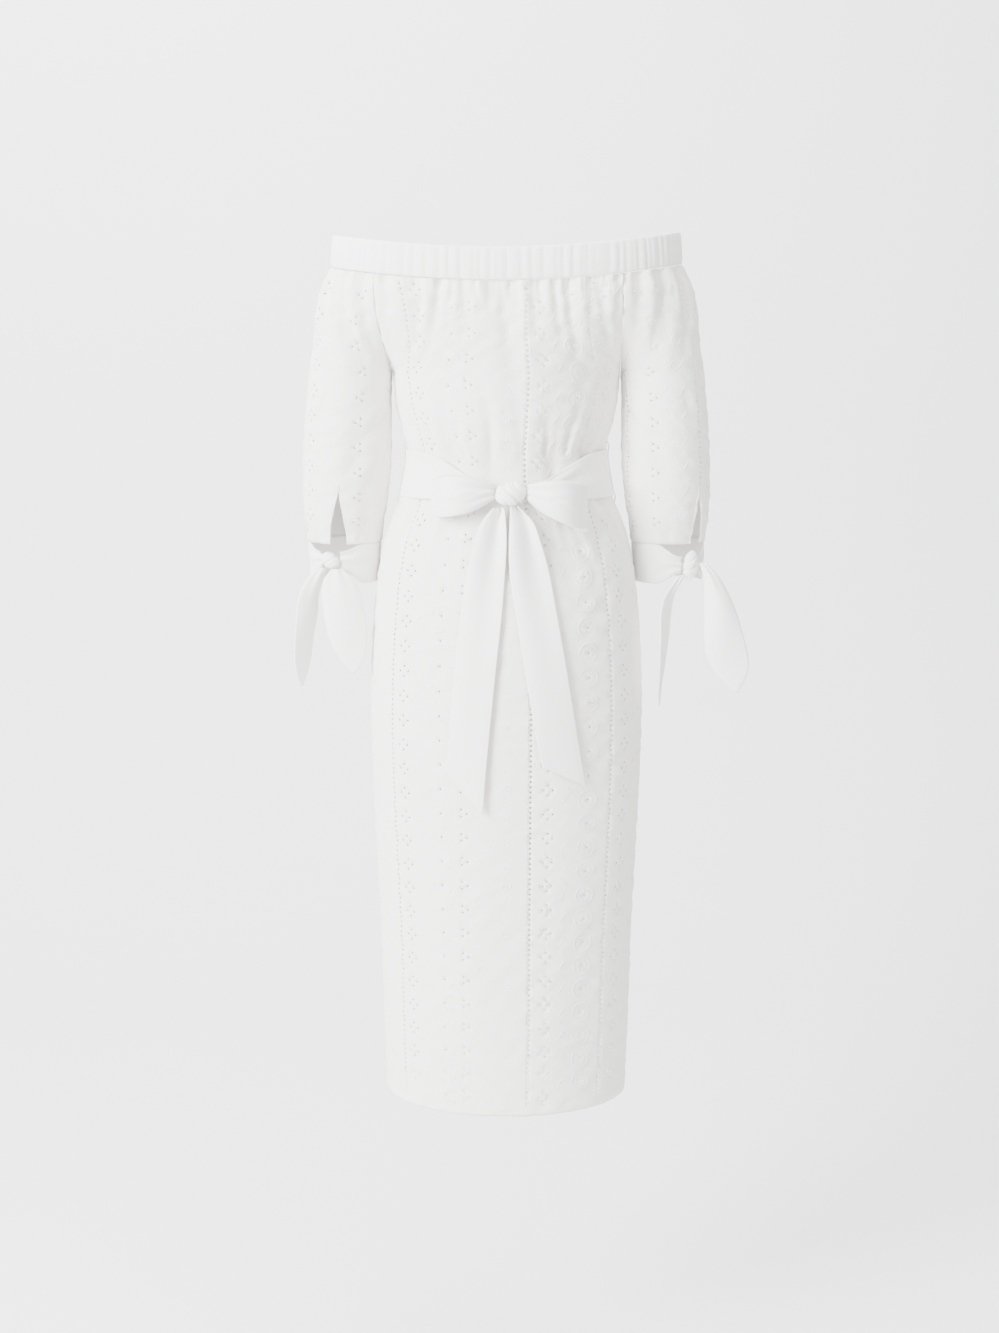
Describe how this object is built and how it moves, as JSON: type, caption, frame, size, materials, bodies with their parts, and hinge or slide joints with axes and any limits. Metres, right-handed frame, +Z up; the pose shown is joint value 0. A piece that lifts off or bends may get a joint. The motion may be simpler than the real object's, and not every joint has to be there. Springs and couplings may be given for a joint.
{
  "type": "off-shoulder dress",
  "caption": "Off-shoulder midi dress in eyelet cotton: gathered elastic neckline, tied three-quarter sleeves and a sash bow at the back, hollow as if worn.",
  "frame": {"origin": "centre of the elastic neckline's loop, where the wearer's upper arms and chest hold the dress up", "axes": "+Z up along the worn dress, -Y out of the dress's back with its bow, +X to the wearer's right"},
  "size_m": [0.5922, 0.2527, 1.141],
  "materials": {
    "eyelet_cotton": "matt white cotton with eyelet embroidery",
    "plain_cotton": "matt plain white cotton"
  },
  "bodies": {
    "root": {"neck_band": "plain_cotton", "sash": "plain_cotton", "sash_knot": "plain_cotton", "bow_loop_left": "plain_cotton", "bow_loop_right": "plain_cotton", "sash_tail_left": "plain_cotton", "sash_tail_right": "plain_cotton", "belt_loop_left": "plain_cotton", "belt_loop_right": "plain_cotton", "cuff_left": "plain_cotton", "cuff_right": "plain_cotton", "cuff_knot_left": "plain_cotton", "cuff_knot_right": "plain_cotton", "cuff_tie_left_inner": "plain_cotton", "cuff_tie_left_outer": "plain_cotton", "cuff_tie_right_inner": "plain_cotton", "cuff_tie_right_outer": "plain_cotton", "back_panel": "eyelet_cotton", "front_panel": "eyelet_cotton", "sleeve_left": "eyelet_cotton", "sleeve_right": "eyelet_cotton"}
  },
  "joints": []
}
